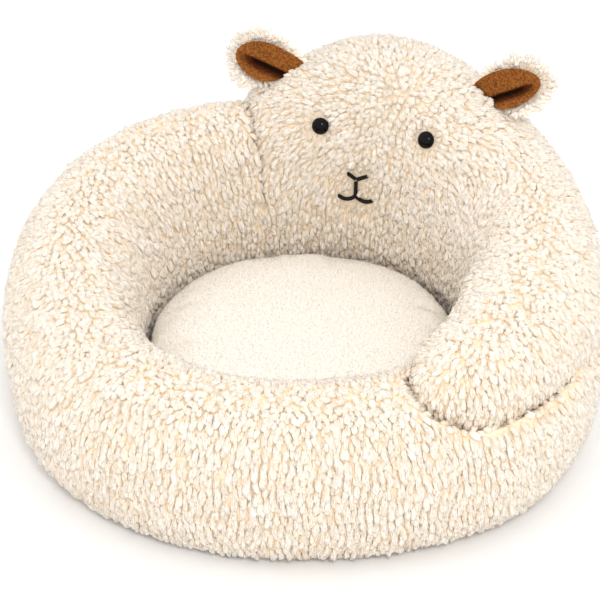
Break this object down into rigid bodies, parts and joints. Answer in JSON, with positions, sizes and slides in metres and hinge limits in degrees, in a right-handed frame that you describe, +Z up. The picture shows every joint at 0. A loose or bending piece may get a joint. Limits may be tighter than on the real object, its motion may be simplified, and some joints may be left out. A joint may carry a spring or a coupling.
{
  "type": "pet cushion bed",
  "caption": "Round plush pet bed: a stuffed ring whose raised side is a lamb's head, with soft ears, an arm over the rim and a loose zipped cushion in the well.",
  "frame": {"origin": "centre of the base panel's underside, on the floor below the middle of the well", "axes": "+Z up; the open front of the ring faces -Y; the lamb's head stands at the back, towards +Y and a little +X, and its arm comes round the +X side"},
  "size_m": [0.597, 0.5993, 0.3091],
  "materials": {
    "ivory_plush": "long curly terry-like plush pile, ivory",
    "cream_fleece": "short smooth fleece pile, cream",
    "brown_velour": "short brown velour",
    "white_fibre": "matte fibre stuffing",
    "black_gloss": "polished black",
    "black_thread": "satin-stitched black thread",
    "clear_plastic": "natural polyethylene",
    "cream_tape": "woven zip tape and nylon coil",
    "cream_enamel": "cream enamelled zinc",
    "grey_fabric": "plain woven fabric with rubbery grip dots"
  },
  "bodies": {
    "root": {"bolster_cover": "ivory_plush", "bolster_filling": "white_fibre", "lamb_cover": "ivory_plush", "head_filling": "white_fibre", "flank_filling": "white_fibre", "left_eye": "black_gloss", "left_eye_washer": "clear_plastic", "right_eye": "black_gloss", "right_eye_washer": "clear_plastic", "nose_stitch_left": "black_thread", "nose_stitch_right": "black_thread", "philtrum_stitch": "black_thread", "mouth_stitch_left": "black_thread", "mouth_stitch_right": "black_thread", "base_panel": "grey_fabric", "base_pad": "white_fibre", "well_floor": "cream_fleece"},
    "arm": {"arm_cover": "ivory_plush", "arm_filling": "white_fibre"},
    "left_ear": {"left_ear_back": "ivory_plush", "left_ear_padding": "white_fibre", "left_ear_lining": "brown_velour"},
    "right_ear": {"right_ear_back": "ivory_plush", "right_ear_padding": "white_fibre", "right_ear_lining": "brown_velour"},
    "cushion": {"cushion_top_cover": "cream_fleece", "cushion_bottom_cover_front": "cream_fleece", "cushion_bottom_cover_back": "cream_fleece", "cushion_filling": "white_fibre", "zip_tape_front": "cream_tape", "zip_tape_back": "cream_tape", "zip_coil": "cream_tape"},
    "slider": {"zip_slider": "cream_enamel", "zip_pull": "cream_enamel"}
  },
  "joints": [
    {"name": "cushion_lift", "type": "slide", "parent": "root", "child": "cushion", "axis": [0, 0, 1], "range_m": [0, 0.3]},
    {"name": "arm_lift", "type": "hinge", "parent": "root", "child": "arm", "pos_m": [0.20379, -0.11296, 0.20479], "axis": [-0.8746, 0.4848, 0], "range_deg": [0, 20]},
    {"name": "left_ear_flap", "type": "hinge", "parent": "root", "child": "left_ear", "pos_m": [-0.01599, 0.22872, 0.25417], "axis": [-0.8076, -0.0565, -0.587], "range_deg": [-30, 30], "stiffness_Nm_per_rad": 0.6},
    {"name": "right_ear_flap", "type": "hinge", "parent": "root", "child": "right_ear", "pos_m": [0.19241, 0.15032, 0.26292], "axis": [0.5692, -0.7285, -0.3812], "range_deg": [-30, 30], "stiffness_Nm_per_rad": 0.6},
    {"name": "zip_slide", "type": "slide", "parent": "cushion", "child": "slider", "axis": [-1, 0, 0], "range_m": [0, 0.222]}
  ]
}
